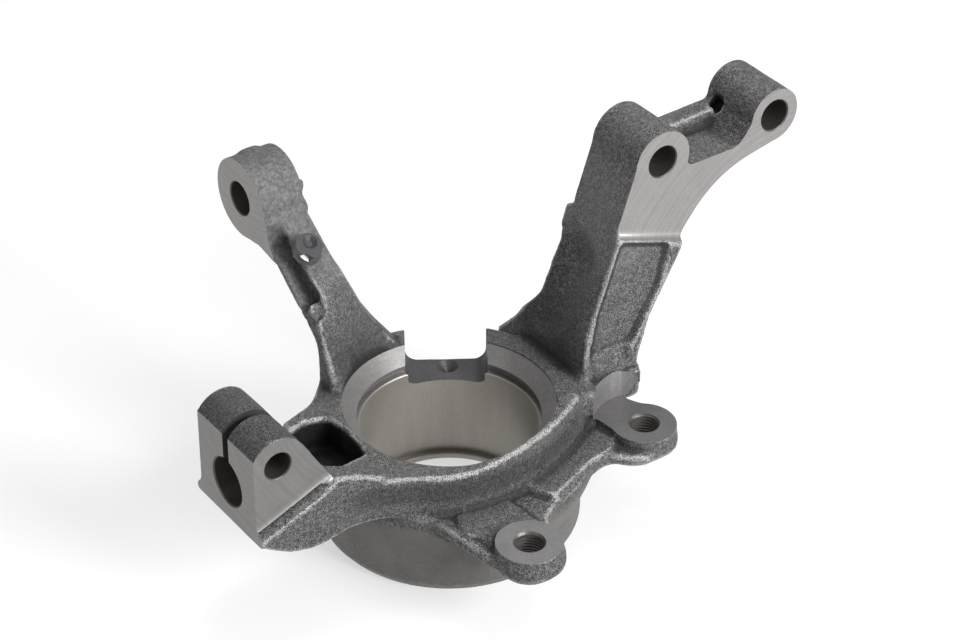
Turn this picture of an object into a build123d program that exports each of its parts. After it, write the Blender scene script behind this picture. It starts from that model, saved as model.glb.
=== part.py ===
"""Steering knuckle for a strut suspension: one iron casting with machined seats.

The wheel bearing's axis is +Z and points inboard. The outboard face lies at Z 0.
The strut bracket stands towards +Y, the ball joint's clamp towards -Y, the caliper's
two threaded ears towards +X and the tie rod's eye towards -X.
An outline's points are (a, b) for a sharp corner or (a, b, r) for a rounded one.
"""
from build123d import *
from math import radians, tan
import os

# Bearing housing
SEAT_R = 40.0            # bearing seat
LIP_R = 36.8             # outboard stop of the bearing
LIP_T = 3.0
GROOVE_R = 43.0          # retaining ring groove
GROOVE_Z = 49.4
GROOVE_W = 4.3
MOUTH_R0 = 41.2          # entry cone, small and large end
MOUTH_R = 47.8
HOUSING_R = 60.2
HOUSING_H = 61.0
HOUSING_CHAMFER = 3.0
CREST_H = 6.0            # rise of the rim towards the strut arm
SKIRT_R = 59.4           # lower part of the housing
SKIRT_Z = 37.5

# Sensor notch in the far side of the rim
NOTCH_ANGLE = 147.0
NOTCH_W = 37.6
NOTCH_Z = 43.0
NOTCH_ROUND = 6.0
NOTCH_WALL = 56.4        # outer wall behind the notch
DIMPLE_AT = 52.0
DIMPLE_R = 6.2

# Caliper ears
EAR_Z = 45.3             # machined faces
EAR_1 = (47.0, 73.7)
EAR_2 = (85.2, -17.9)
EAR_R = 15.0
EAR_FACE_R = 14.8
EAR_TAP_R = 6.25         # tapping size of the M14 thread
EAR_MOUTH_R = 7.2
EAR_CUTTER_R = 23.0      # spot facing cutter of the ear under the strut bracket
PLATE_Z = 40.3
PLATE_STEP = 2.5         # raised level beside the first ear
PLATE_BOTTOM = 31.2
PLATE_LIFT = 3.6         # the plate is thinner under the first ear
PLATE_ROUND = 3.6
GUSSET_R = 66.0          # web under the plate
GUSSET_Z = 14.0
FOOT_TOP = 54.0          # foot between the strut arm and the first ear

# Ball joint clamp
CLAMP_X = 3.2            # middle plane of the clamp
CLAMP_W = 44.7           # over the milled faces
CLAMP_Y = -116.3         # front face
BALL_Z = 69.3
BALL_R = 11.3
PINCH_Y = -104.4
PINCH_Z = 86.5
PINCH_R = 6.3
PINCH_BOSS_R = 13.5
SLIT_W = 4.4
FOOT_EXTRA = 4.8         # rough foot proud of the milled faces
FOOT_Z = 55.8            # start of the foot at the front face
FOOT_RISE = 21.5         # slope of the foot, degrees
CHEEK_Z = 39.4           # underside of the arm that carries the clamp
CHEEK_BACK = -79.0       # back of the clamp's two ears
CHIN_Z = 50.4            # lower edge of the front face
CUTTER_NOSE = 4.0        # corner radius of the milling cutters
POCKET_FLOOR = 44.0
POCKET_ROUND = 3.0

# Strut bracket
STRUT_X0 = -12.0         # milled faces
STRUT_X1 = 19.5
STRUT_BOLT_1 = (100.4, 159.2)
STRUT_BOLT_2 = (163.8, 161.0)
STRUT_BOLT_R = 7.5
STRUT_BOSS_1 = 14.8
STRUT_BOSS_2 = 13.2
STRUT_SKIN = 3.5         # rough arm proud of the milled faces
STRUT_LEAN = 21.4        # slope of the milled faces' lower edge, degrees
WEB_X1 = -3.0            # thin web between the bosses
WEB_TOP = 158.5
RECESS_Z = 152.0         # floor between the bosses
ARM_BACK = 87.0          # far side of the arm's root
SCOOP_R = 30.0           # hollow in the arm's side towards the bearing
SCOOP_DEPTH = 7.5
PANEL_DEPTH = 2.2        # sunk outer side of the arm

# Tie rod eye and its arm
EYE_X = -107.0
EYE_Z = 125.6
EYE_FACE_Y = -39.8
EYE_LENGTH = 22.0
EYE_R = 19.2
EYE_BORE_R = 8.0         # wide end of the taper, at the face
EYE_TAPER = 2.9          # degrees each side
RIDGE_Y = -33.5
CHANNEL_Y = -28.5        # floor of the arm's open channel
STUB_R = 5.5
STUB_FOOT = (-69.5, -29.0, 112.0)
STUB_H = 9.0

EDGE = 0.7               # small chamfer of machined edges
BEYOND = 200.0           # far past the casting


def outline(points: list, place) -> Wire:
    """A closed wire through points of a plane, some of them rounded."""
    corners = [place(p[0], p[1]) for p in points]
    rounds = [p[2] if len(p) > 2 else 0 for p in points]
    return FilletPolyline(*corners, radius=rounds, close=True)


def plan(points: list, z0: float, z1: float) -> Part:
    """An (x, y) outline raised from z0 to z1."""
    face = make_face(outline(points, lambda x, y: (x, y, 0)))
    return Pos(0, 0, z0) * extrude(face, z1 - z0, dir=(0, 0, 1))


def side(points: list, x0: float, x1: float) -> Part:
    """A (y, z) outline drawn along X from x0 to x1."""
    face = make_face(outline(points, lambda y, z: (0, y, z)))
    return Pos(x0, 0, 0) * extrude(face, x1 - x0, dir=(1, 0, 0))


def front(points: list, y0: float, y1: float) -> Part:
    """An (x, z) outline drawn along Y from y0 to y1."""
    face = make_face(outline(points, lambda x, z: (x, 0, z)))
    return Pos(0, y0, 0) * extrude(face, y1 - y0, dir=(0, 1, 0))


def turned(points: list) -> Part:
    """An (r, z) outline turned round the bearing's axis."""
    return revolve(make_face(outline(points, lambda r, z: (r, 0, z))), Axis.Z, 360)


def rod_x(radius: float, y: float, z: float, x0: float, x1: float) -> Part:
    """A round bar along X."""
    return Pos((x0 + x1) / 2, y, z) * Rot(0, 90, 0) * Cylinder(radius, x1 - x0)


def rod_y(radius: float, x: float, z: float, y0: float, y1: float) -> Part:
    """A round bar along Y."""
    return Pos(x, (y0 + y1) / 2, z) * Rot(90, 0, 0) * Cylinder(radius, y1 - y0)


def rod_z(radius: float, x: float, y: float, z0: float, z1: float) -> Part:
    """A round bar along Z."""
    return Pos(x, y, (z0 + z1) / 2) * Cylinder(radius, z1 - z0)


def side_mill(face_x: float, y: float, z: float, slope: float, nose: float, outward: int) -> Part:
    """What a cutter with a rounded nose clears above a sloping line beside a milled face."""
    cutter = Box(BEYOND, BEYOND, BEYOND, align=(Align.MIN, Align.CENTER, Align.MIN))
    cutter = fillet(cutter.edges().group_by(Axis.X)[0].sort_by(Axis.Z)[0], nose)
    if outward < 0:
        cutter = mirror(cutter, Plane.YZ)
    return Pos(face_x, y, z) * Rot(slope, 0, 0) * cutter


def caliper_side(z0: float, z1: float) -> Part:
    """The space outside the housing's wall where the brake caliper passes."""
    wall = Spline((24, -62), (33, -49.5), (44, -35), (49.6, -17.5), (50.6, 0), (49, 15), (43, 32), (30, 60))
    rest = Polyline((30, 60), (120, 60), (120, -90), (24, -90), (24, -62))
    return Pos(0, 0, z0) * extrude(make_face(wall + rest), z1 - z0, dir=(0, 0, 1))


def housing() -> Part:
    """The drum round the bearing, with its thin wall and crest on the caliper's side."""
    drum = turned([(0, 0), (SKIRT_R - HOUSING_CHAMFER, 0), (SKIRT_R, HOUSING_CHAMFER), (SKIRT_R, SKIRT_Z),
                   (HOUSING_R, SKIRT_Z + 1), (HOUSING_R, HOUSING_H, 2), (0, HOUSING_H)])
    crest = side([(-26, PLATE_Z), (-26, HOUSING_H - 1), (-8, HOUSING_H + 1.5), (10, HOUSING_H + 4, 30),
                  (62, HOUSING_H + CREST_H), (62, PLATE_Z)], 30, 70)
    drum += crest & rod_z(HOUSING_R, 0, 0, 0, HOUSING_H + 2 * CREST_H)
    drum -= caliper_side(PLATE_Z, HOUSING_H + 2 * CREST_H)
    behind = Pos(NOTCH_WALL, 0, 20) * Box(20, NOTCH_W, 60, align=(Align.MIN, Align.CENTER, Align.MIN))
    return drum - Rot(0, 0, NOTCH_ANGLE) * behind


def caliper_plate() -> Part:
    """The plate with the two threaded ears, and the web under it."""
    (x1, y1), (x2, y2) = EAR_1, EAR_2
    r = EAR_R
    edge = [(0, -46), (45, -39.5), (x2 - 1, y2 - r), (x2 + r, y2 - r, r - 1), (x2 + r, y2 + r, r - 1),
            (x2 - 6, y2 + r + 1, 8), (70, 3, 8), (64, 13, 6), (53, 40, 10), (52, 52, 8),
            (x1 + r, y1 - r + 0.5, r - 1), (x1 + r, y1 + r, r - 1), (x1 - 8, y1 + r), (24, 76), (0, 60)]
    plate = plan(edge, PLATE_BOTTOM, PLATE_Z)
    plate = chamfer(plate.edges().group_by(Axis.Z)[0], PLATE_ROUND)
    plate -= plan([(48, 44), (80, 44), (80, 100), (20, 100), (20, 70), (40, 58)], 0,
                  PLATE_BOTTOM + PLATE_LIFT)
    plate += plan([(30, -2), (47, 4), (64, 12), (53, 40), (51, 52), (44, 60), (20, 60)], PLATE_Z - 1,
                  PLATE_Z + PLATE_STEP)
    for x, y in (EAR_1, EAR_2):
        plate += rod_z(EAR_FACE_R, x, y, PLATE_Z - 1, EAR_Z)
    plate += plan([(30, 58), (46, 60), (46, y1 + EAR_FACE_R - 1), (26, 77.5)], PLATE_Z - 1, EAR_Z)
    web = make_face(outline([(SKIRT_R - 4, GUSSET_Z), (SKIRT_R - 0.5, GUSSET_Z), (GUSSET_R - 1, 30),
                             (GUSSET_R, PLATE_Z - 1), (SKIRT_R - 4, PLATE_Z - 1)], lambda r, z: (r, 0, z)))
    return plate + Rot(0, 0, 4) * revolve(web, Axis.Z, 58)


def clamp() -> Part:
    """The split clamp for the ball joint's stud, with the cheeks that carry it."""
    x0 = CLAMP_X - CLAMP_W / 2
    x1 = CLAMP_X + CLAMP_W / 2
    left = x0 - FOOT_EXTRA + 1
    right = x1 + FOOT_EXTRA
    cheek = plan([(left, CLAMP_Y), (right, CLAMP_Y), (right, -84, 30), (27, -66, 30), (40, -41), (30, -36),
                  (-30, -36), (-40, -44.5), (-33.5, -52, 14), (-29, -68, 40), (left, -86)], CHEEK_Z, 90)
    shape = side([(CLAMP_Y, CHIN_Z), (-111.6, 47.2, 12), (-103, 42, 20), (-93, CHEEK_Z), (-30, CHEEK_Z),
                  (-30, HOUSING_H), (-52, HOUSING_H, 20), (CHEEK_BACK, 70.6), (CLAMP_Y, 70.6)], left, right)
    low = side([(CLAMP_Y, 0), (CLAMP_Y, HOUSING_H + 2), (CHEEK_BACK, HOUSING_H + 2, 10),
                (CHEEK_BACK + 6, HOUSING_H, 6), (-20, HOUSING_H), (-20, 0)], -60, -8)
    high = side([(CLAMP_Y, 0), (CLAMP_Y, 90), (-20, 90), (-20, 0)], -8, 60)
    shape += side([(-70, CHEEK_Z), (-70, HOUSING_H), (-20, HOUSING_H), (-20, CHEEK_Z)], -60, 60)
    cheek = cheek & (high + low) & shape
    ears = side([(CLAMP_Y, CHIN_Z), (CLAMP_Y, PINCH_Z + 4), (PINCH_Y, PINCH_Z + 9), (-93.2, 94.4, 6),
                 (CHEEK_BACK, 70.6, 8), (CHEEK_BACK + 6, HOUSING_H), (CHEEK_BACK + 6, CHIN_Z)], x0, x1)
    boss = rod_x(PINCH_BOSS_R, PINCH_Y, PINCH_Z, x0, x1)
    ears += boss & side([(CLAMP_Y, 0), (CLAMP_Y, 150), (0, 150), (0, 0)], x0, x1)
    block = cheek + ears
    for outward, face in ((1, x1), (-1, x0)):
        block -= side_mill(face, CLAMP_Y, FOOT_Z - CUTTER_NOSE / 2, FOOT_RISE, CUTTER_NOSE, outward)
    return block


def clamp_cuts() -> Part:
    """The stud's bore, the slit, the pinch bolt's hole and the pocket behind them."""
    x0 = CLAMP_X - CLAMP_W / 2
    x1 = CLAMP_X + CLAMP_W / 2
    half = SLIT_W / 2
    into = CHEEK_BACK + 2
    cuts = rod_y(BALL_R, CLAMP_X, BALL_Z, CLAMP_Y - 5, into)
    cuts += Pos(CLAMP_X, CLAMP_Y, BALL_Z) * Rot(90, 0, 0) * Cone(BALL_R - EDGE, BALL_R + EDGE, 2 * EDGE)
    cuts += plan([(CLAMP_X - half, CLAMP_Y - 5), (CLAMP_X + half, CLAMP_Y - 5), (CLAMP_X + half, into + 8),
                  (CLAMP_X - half, into + 8)], BALL_Z, BEYOND)
    cuts += rod_x(PINCH_R, PINCH_Y, PINCH_Z, x0 - 9, x1 + 9)
    r = POCKET_ROUND
    pocket = [(-23.6, -62, r), (-21, -51.5, 5), (-10, -49.3, 20), (2, -50, 20), (10.5, -51.5, r),
              (18.5, -70, 6), (16.5, CHEEK_BACK, r), (-18, CHEEK_BACK, r)]
    return cuts + plan(pocket, POCKET_FLOOR, PINCH_Z)


def strut_arm() -> Part:
    """The arm that rises from the housing and ends in the strut's two bosses."""
    (ya, za), (yb, zb) = STRUT_BOLT_1, STRUT_BOLT_2
    ra, rb = STRUT_BOSS_1, STRUT_BOSS_2
    profile = [(50, 30), (57, 60), (57, 77, 60), (75.2, 129, 60), (ya - ra, za), (ya, za + 6), (yb, zb + 6),
               (yb + 9, zb - 9), (yb + 2, zb - rb + 0.3), (131.5, 141.5, 50), (113.6, 119.5, 4),
               (111.5, 111.5, 40), (93, 79, 40), (ARM_BACK, 60, 40), (ARM_BACK, 46, 7), (64, 44), (60, 24)]
    section = [(STRUT_X0 - 5, BEYOND), (STRUT_X0 - 5, 112, 50), (-21, 82, 15), (-30, 67, 10), (-41, 55),
               (-41, 40), (-28, 24), (30, 24), (28, 60, 20), (STRUT_X1 + STRUT_SKIN, 80, 40),
               (STRUT_X1 + STRUT_SKIN, BEYOND)]
    behind = [(-50, 36), (-44, 47), (-41, 58, 6), (-18, 80, 10), (-18, BEYOND), (60, BEYOND), (60, 36)]
    arm = side(profile, -BEYOND, BEYOND) & front(section, 0, BEYOND) & plan(behind, 0, BEYOND)
    bosses = rod_x(ra, ya, za, STRUT_X0, STRUT_X1) + rod_x(rb, yb, zb, STRUT_X0, STRUT_X1)
    arm += bosses
    for outward, face in ((1, STRUT_X1), (-1, STRUT_X0)):
        arm -= side_mill(face, 74.4, 129.5, -STRUT_LEAN, STRUT_SKIN, outward)
    far = yb - rb - 2
    recess = side([(ya + ra + 0.5, BEYOND), (ya + 13, RECESS_Z, 4), (far - 5.5, RECESS_Z, 5),
                   (far, RECESS_Z + 6, 4), (far, BEYOND)], WEB_X1, BEYOND)
    over = side([(ya, BEYOND), (ya + 8, WEB_TOP, 4), (yb - 8, WEB_TOP + 1.2, 4), (yb, BEYOND)],
                -BEYOND, BEYOND)
    arm -= recess + over - bosses
    arm -= side([(79, 124, 3), (104, 114, 3), (99, 95, 30), (84, 72, 6), (62.5, 72, 6), (66.5, 92, 30)],
                STRUT_X1 + STRUT_SKIN - PANEL_DEPTH, 60)
    out = SCOOP_R - SCOOP_DEPTH
    low = Vector(-11, 58 - 0.96 * out, 84 + 0.27 * out)
    high = Vector(-3, 67 - 0.96 * out, 110 + 0.27 * out)
    tube = Solid.make_cylinder(SCOOP_R, (high - low).length, Plane(low, z_dir=high - low))
    return arm - tube - Pos(low) * Sphere(SCOOP_R) - Pos(high) * Sphere(SCOOP_R)


def ear_foot() -> Part:
    """The thick foot between the strut arm and the first ear, cleared by the spot facing."""
    return plan([(15, 50), (29, 50), (31.5, 54.5), (26.5, 78), (12, 70)], PLATE_BOTTOM + 3, FOOT_TOP)


def steering_arm() -> Part:
    """The arm to the tie rod's eye, an open channel towards the eye's face."""
    y1 = EYE_FACE_Y + EYE_LENGTH
    lip_y = EYE_FACE_Y + 0.5
    rim = HOUSING_H - 1
    beam = front([(EYE_X + 8, EYE_Z - 7.6), (-80, 105.5), (-46, 78.5, 6), (-46, rim), (-34, rim),
                  (-40, 84, 30), (-47, 97, 30), (EYE_X + 15, EYE_Z + 2.4), (EYE_X + 3, EYE_Z)], lip_y, 14)
    swoop = side([(EYE_FACE_Y, 40), (EYE_FACE_Y, 150), (y1, 150), (y1, 106, 30), (-10, 86, 30), (2, 67, 30),
                  (12.6, rim + 0.6), (12.6, 40)], -150, 0)
    layers = [([(-45.5, -39.2), (-31, -37), (-46.5, 8), (-57.5, 12)], rim - 4),
              ([(-45.8, -39.4), (-38, -37), (-49.5, -4), (-59.5, -2)], rim + 15),
              ([(-50, -39.4), (-42, -37), (-51, -10), (-60, -9)], rim + 26)]
    rings = [make_face(Polyline(*[(x, y, z) for x, y in ring], close=True)) for ring, z in layers]
    arm = (beam & swoop) + loft(rings, ruled=True)
    inner = Plane(origin=(-31, -36.5, rim - 2), z_dir=(0.941, 0.338, 0.4))
    arm -= inner * Box(BEYOND, BEYOND, BEYOND, align=(Align.CENTER, Align.CENTER, Align.MIN))
    arm -= front([(-86, 140), (-84, 113.5), (-61.5, 94.8, 10), (-50, 86, 3), (-47, 92, 3), (-47, 140)],
                 EYE_FACE_Y - 5, RIDGE_Y)
    arm -= front([(-83, 113, 2), (-61.5, 95, 10), (-51, 87, 3), (-48.5, 95, 4), (-58, 102, 10),
                  (-76, 113, 3), (-81, 118, 2)], EYE_FACE_Y - 5, CHANNEL_Y)
    arm += rod_y(EYE_R, EYE_X, EYE_Z, EYE_FACE_Y, y1)
    arm += front([(-107, 106.5), (-92, 108.5), (-79.5, 106.5), (-84, 116, 20), (-88, 131)], EYE_FACE_Y, y1)
    stub = Cylinder(STUB_R, STUB_H, align=(Align.CENTER, Align.CENTER, Align.MIN))
    return arm + Pos(*STUB_FOOT) * Rot(0, 30, 0) * stub


def machining() -> Part:
    """Everything that is turned, bored or drilled out of the casting."""
    z_cone = GROOVE_Z + GROOVE_W
    z_mouth = z_cone + (MOUTH_R - MOUTH_R0)
    top = HOUSING_H + CREST_H + 2
    cuts = turned([(0, -5), (LIP_R, -5), (LIP_R, LIP_T), (SEAT_R, LIP_T), (SEAT_R, GROOVE_Z),
                   (GROOVE_R, GROOVE_Z), (GROOVE_R, z_cone), (MOUTH_R0, z_cone), (MOUTH_R, z_mouth),
                   (MOUTH_R, top), (0, top)])
    notch = Box(40, NOTCH_W, 60, align=(Align.MIN, Align.CENTER, Align.MIN))
    notch = fillet(notch.edges().filter_by(Axis.X).group_by(Axis.Z)[0], NOTCH_ROUND)
    turn = Rot(0, 0, NOTCH_ANGLE)
    cuts += turn * Pos(SEAT_R - 4, 0, NOTCH_Z) * notch
    cuts += turn * Pos(DIMPLE_AT, 0, NOTCH_Z) * Cone(0.01, 2 * DIMPLE_R, 2 * DIMPLE_R)
    cuts += rod_z(EAR_CUTTER_R, *EAR_1, EAR_Z, 80)
    for x, y in (EAR_1, EAR_2):
        cuts += rod_z(EAR_TAP_R, x, y, 0, 60)
        cuts += Pos(x, y, EAR_Z) * Cone(EAR_MOUTH_R - 1.2, EAR_MOUTH_R + 1.2, 2.4)
    for y, z in (STRUT_BOLT_1, STRUT_BOLT_2):
        cuts += rod_x(STRUT_BOLT_R, y, z, STRUT_X0 - 20, STRUT_X1 + 20)
    narrow = EYE_BORE_R - EYE_LENGTH * tan(radians(EYE_TAPER))
    middle = EYE_FACE_Y + EYE_LENGTH / 2
    return cuts + Pos(EYE_X, middle, EYE_Z) * Rot(90, 0, 0) * Cone(narrow, EYE_BORE_R, EYE_LENGTH + 0.02)


def knuckle() -> Part:
    """The whole casting."""
    body = housing() + caliper_plate() + clamp() + ear_foot() + strut_arm() + steering_arm()
    return body - clamp_cuts() - machining()


if __name__ == "__main__":
    os.makedirs("parts", exist_ok=True)
    part = knuckle()
    part.label = "knuckle_casting"
    export_step(part, "parts/knuckle_casting.step")
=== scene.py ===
"""Steering knuckle: the cast skin, its machined faces and the studio round it.

Sizes are in millimetres in the part's own frame, and become metres where a mesh is made. The studio's
places, and the places that a finish reads directly, are in metres.
"""
import logging
import math
from dataclasses import dataclass, field
from enum import Enum
from functools import cached_property
from typing import Callable, Optional, Sequence

import bmesh
import bpy
import numpy as np
from mathutils import Matrix, Vector, kdtree, noise


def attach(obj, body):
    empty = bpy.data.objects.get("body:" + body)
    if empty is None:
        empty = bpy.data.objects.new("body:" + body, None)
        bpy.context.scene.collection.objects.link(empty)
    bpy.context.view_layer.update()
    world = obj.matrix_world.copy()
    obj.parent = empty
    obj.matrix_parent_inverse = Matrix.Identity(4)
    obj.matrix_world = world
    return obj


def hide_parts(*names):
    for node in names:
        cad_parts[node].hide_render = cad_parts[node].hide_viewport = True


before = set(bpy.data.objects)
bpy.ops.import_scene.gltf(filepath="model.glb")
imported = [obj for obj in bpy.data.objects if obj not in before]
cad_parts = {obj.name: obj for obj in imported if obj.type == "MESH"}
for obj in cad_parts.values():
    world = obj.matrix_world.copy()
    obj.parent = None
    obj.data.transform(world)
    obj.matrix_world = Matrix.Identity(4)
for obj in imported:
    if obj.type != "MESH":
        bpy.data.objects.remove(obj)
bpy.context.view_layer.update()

log = logging.getLogger("knuckle")
MM = 0.001
SAME_PLACE = 1e-6
FULL_TURN = 2 * math.pi
Piece = bpy.types.Object
Point = tuple[float, ...]
Span = tuple[float, float]
Colour = tuple[float, float, float]


class Axis(Enum):
    """The axis that a bar, plate or outline runs along."""

    X = 0
    Y = 1
    Z = 2

    def place(self, a: float, b: float, along: float) -> Vector:
        """The point (a, b) of an outline at a height along this axis, in millimetres."""
        return Vector({0: (along, a, b), 1: (a, along, b), 2: (a, b, along)}[self.value])

    def unit(self) -> Vector:
        """This axis as a unit vector."""
        return Vector([1.0 if i == self.value else 0.0 for i in range(3)])

    def turn(self) -> Point:
        """The Euler angles that lay an upright bar along this axis."""
        return ((0, math.pi / 2, 0), (-math.pi / 2, 0, 0), (0, 0, 0))[self.value]


class Skin(Enum):
    """The finishes of the casting, in the order of its material slots."""

    CAST = 0
    MILLED = 1
    TURNED = 2
    PAD = 3
    DRILLED = 4
    NOTCH = 5
    CLAMP = 6
    EYE = 7
    WALL = 8
    CONE = 9


class Bench:
    """Modelling steps as done by hand, each on one object that sits at the origin."""

    @staticmethod
    def alone(piece: Piece) -> None:
        """Select one object and make it the active one."""
        bpy.ops.object.select_all(action="DESELECT")
        piece.select_set(True)
        bpy.context.view_layer.objects.active = piece

    @staticmethod
    def settle(piece: Piece) -> Piece:
        """Move an object's place and turn into its mesh."""
        Bench.alone(piece)
        bpy.ops.object.transform_apply(location=True, rotation=True, scale=True)
        return piece

    @staticmethod
    def edit(piece: Piece, pick: Callable[[bmesh.types.BMesh], None],
             *steps: Callable[[], object]) -> None:
        """Run edit-mode operators on what a function selects.

        Args:
            piece: The object to edit.
            pick: Sets the selection on the edit mesh.
            steps: Operator calls, run in order.
        """
        Bench.alone(piece)
        bpy.ops.object.mode_set(mode="EDIT")
        bpy.ops.mesh.select_mode(type="VERT")
        bpy.ops.mesh.select_all(action="DESELECT")
        mesh = bmesh.from_edit_mesh(piece.data)
        pick(mesh)
        mesh.select_flush_mode()
        bmesh.update_edit_mesh(piece.data)
        for step in steps:
            step()
        bpy.ops.object.mode_set(mode="OBJECT")

    @staticmethod
    def everything(mesh: bmesh.types.BMesh) -> None:
        """Select the whole edit mesh."""
        for part in (*mesh.verts, *mesh.edges, *mesh.faces):
            part.select = True

    @staticmethod
    def outward(piece: Piece) -> Piece:
        """Merge doubles and turn the faces outwards."""
        Bench.edit(piece, Bench.everything,
                   lambda: bpy.ops.mesh.remove_doubles(threshold=SAME_PLACE),
                   lambda: bpy.ops.mesh.normals_make_consistent(inside=False))
        return piece

    @staticmethod
    def rod(radius: float, axis: Axis, centre: Point, span: Span, top: Optional[float] = None,
            sides: int = 64) -> Piece:
        """A round bar or cone along an axis.

        Args:
            radius: Its radius at the low end.
            axis: The axis it runs along.
            centre: Where its middle line passes.
            span: Where it starts and ends.
            top: Its radius at the high end, if that differs.
            sides: Faces round it.

        Returns:
            The bar, closed at both ends.
        """
        low, high = span
        bpy.ops.mesh.primitive_cone_add(vertices=sides, radius1=radius * MM, depth=(high - low) * MM,
                                        radius2=(radius if top is None else top) * MM,
                                        location=axis.place(*centre, (low + high) / 2) * MM)
        bar = bpy.context.active_object
        bar.rotation_euler = axis.turn()
        return Bench.settle(bar)

    @staticmethod
    def outline(places: Sequence[Vector], fill: str = "NOTHING") -> Piece:
        """A ring of points at these places in millimetres, open or filled."""
        bpy.ops.object.select_all(action="DESELECT")
        bpy.ops.mesh.primitive_circle_add(vertices=len(places), radius=0.01, fill_type=fill)
        ring = bpy.context.active_object
        for vert, place in zip(ring.data.vertices, places):
            vert.co = place * MM
        return ring

    @staticmethod
    def prism(points: Sequence[Point], axis: Axis, span: Span) -> Piece:
        """An outline extruded along an axis, with bevelled corners where a point has a radius.

        Args:
            points: (a, b) or (a, b, radius) round the outline.
            axis: The axis to extrude along.
            span: Where it starts and ends.

        Returns:
            The closed solid.
        """
        low, high = span
        piece = Bench.outline([axis.place(point[0], point[1], low) for point in points], "NGON")
        shift = axis.unit() * (high - low) * MM
        Bench.edit(piece, Bench.everything,
                   lambda: bpy.ops.mesh.extrude_region_move(TRANSFORM_OT_translate={"value": shift}))
        Bench.outward(piece)
        for point in points:
            if len(point) > 2:
                Bench.round_corner(piece, axis, point)
        return piece

    @staticmethod
    def round_corner(piece: Piece, axis: Axis, corner: Point) -> None:
        """Bevel the edge of a prism that stands at (a, b) with the radius in its third number."""
        foot = axis.place(corner[0], corner[1], 0) * MM
        along = axis.unit()

        def pick(mesh: bmesh.types.BMesh) -> None:
            """Select the edge that lies on the line through the corner."""
            for edge in mesh.edges:
                aside = [(v.co - foot) - along * (v.co - foot).dot(along) for v in edge.verts]
                if all(a.length < SAME_PLACE for a in aside):
                    for part in (edge, *edge.verts):
                        part.select = True

        Bench.edit(piece, pick,
                   lambda: bpy.ops.mesh.bevel(offset=corner[2] * MM, segments=8, affect="EDGES"))

    @staticmethod
    def turned(profile: Sequence[Span]) -> Piece:
        """A profile spun round the bearing's axis.

        Args:
            profile: (r, z) points, first and last on the axis.

        Returns:
            The closed solid.
        """
        piece = Bench.outline([Vector((r, 0, z)) for r, z in profile])

        def on_axis(mesh: bmesh.types.BMesh) -> None:
            """Select the edge that closes the profile along the axis."""
            for edge in mesh.edges:
                edge.select = all(abs(v.co.x) < SAME_PLACE for v in edge.verts)

        def drop() -> None:
            """Delete the selected edge."""
            bpy.ops.mesh.select_mode(type="EDGE")
            bpy.ops.mesh.delete(type="EDGE")

        spin = {"steps": 160, "angle": FULL_TURN, "center": (0, 0, 0), "axis": (0, 0, 1)}
        Bench.edit(piece, on_axis, drop)
        Bench.edit(piece, Bench.everything, lambda: bpy.ops.mesh.spin(**spin))
        return Bench.outward(piece)

    @staticmethod
    def move(piece: Piece, turn: Matrix) -> Piece:
        """Turn and shift an object by a matrix in millimetres, into its mesh."""
        scaled = turn.copy()
        scaled.translation = turn.translation * MM
        piece.matrix_world = scaled
        return Bench.settle(piece)

    @staticmethod
    def join(first: Piece, *others: Piece) -> None:
        """Join objects into the first one, shells and all."""
        Bench.alone(first)
        for other in others:
            other.select_set(True)
        bpy.ops.object.join()

    @staticmethod
    def apply(piece: Piece, kind: str, **settings: object) -> None:
        """Add a modifier with these settings and apply it."""
        Bench.alone(piece)
        modifier = piece.modifiers.new(kind.title(), kind)
        for name, value in settings.items():
            setattr(modifier, name, value)
        bpy.ops.object.modifier_apply(modifier=modifier.name)

    @staticmethod
    def paint(piece: Piece, skin: Skin) -> Piece:
        """Give a piece the slots of the casting and all its faces one of them."""
        while len(piece.data.materials) < len(Skin):
            piece.data.materials.append(None)
        for face in piece.data.polygons:
            face.material_index = skin.value
        return piece

    @staticmethod
    def boolean(piece: Piece, tool: Piece, operation: str = "DIFFERENCE") -> None:
        """Cut with a tool, or keep what lies in it, and remove the tool."""
        Bench.apply(piece, "BOOLEAN", object=tool, operation=operation, solver="MANIFOLD")
        bpy.data.objects.remove(tool, do_unlink=True)


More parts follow.
